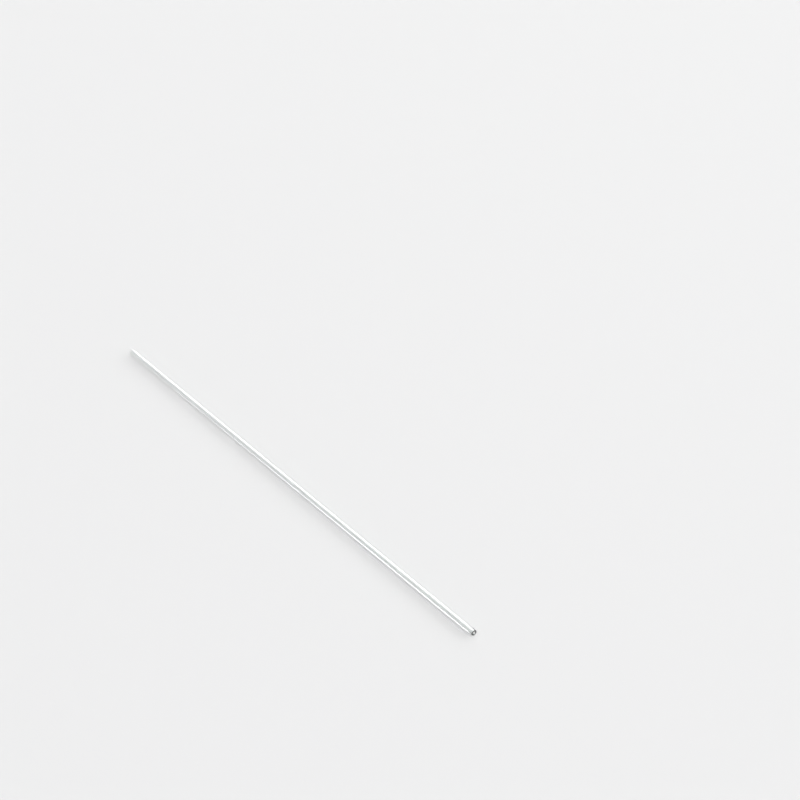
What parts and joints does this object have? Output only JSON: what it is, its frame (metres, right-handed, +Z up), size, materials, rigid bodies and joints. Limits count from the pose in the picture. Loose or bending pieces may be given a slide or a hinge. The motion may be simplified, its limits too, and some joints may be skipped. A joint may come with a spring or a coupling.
{
  "type": "glass capillary tube",
  "caption": "Straight clear glass capillary tube with a fine bore right through and both ends open and flame-softened.",
  "frame": {"origin": "point on the bench right under the middle of the tube", "axes": "+X along the bore, +Z up from the surface that the tube lies on"},
  "size_m": [0.1, 0.001, 0.001],
  "materials": {
    "clear_glass": "drawn clear soda-lime glass, smooth, ends cut square and flame-softened"
  },
  "bodies": {
    "root": {"glass_tube": "clear_glass"}
  },
  "joints": []
}
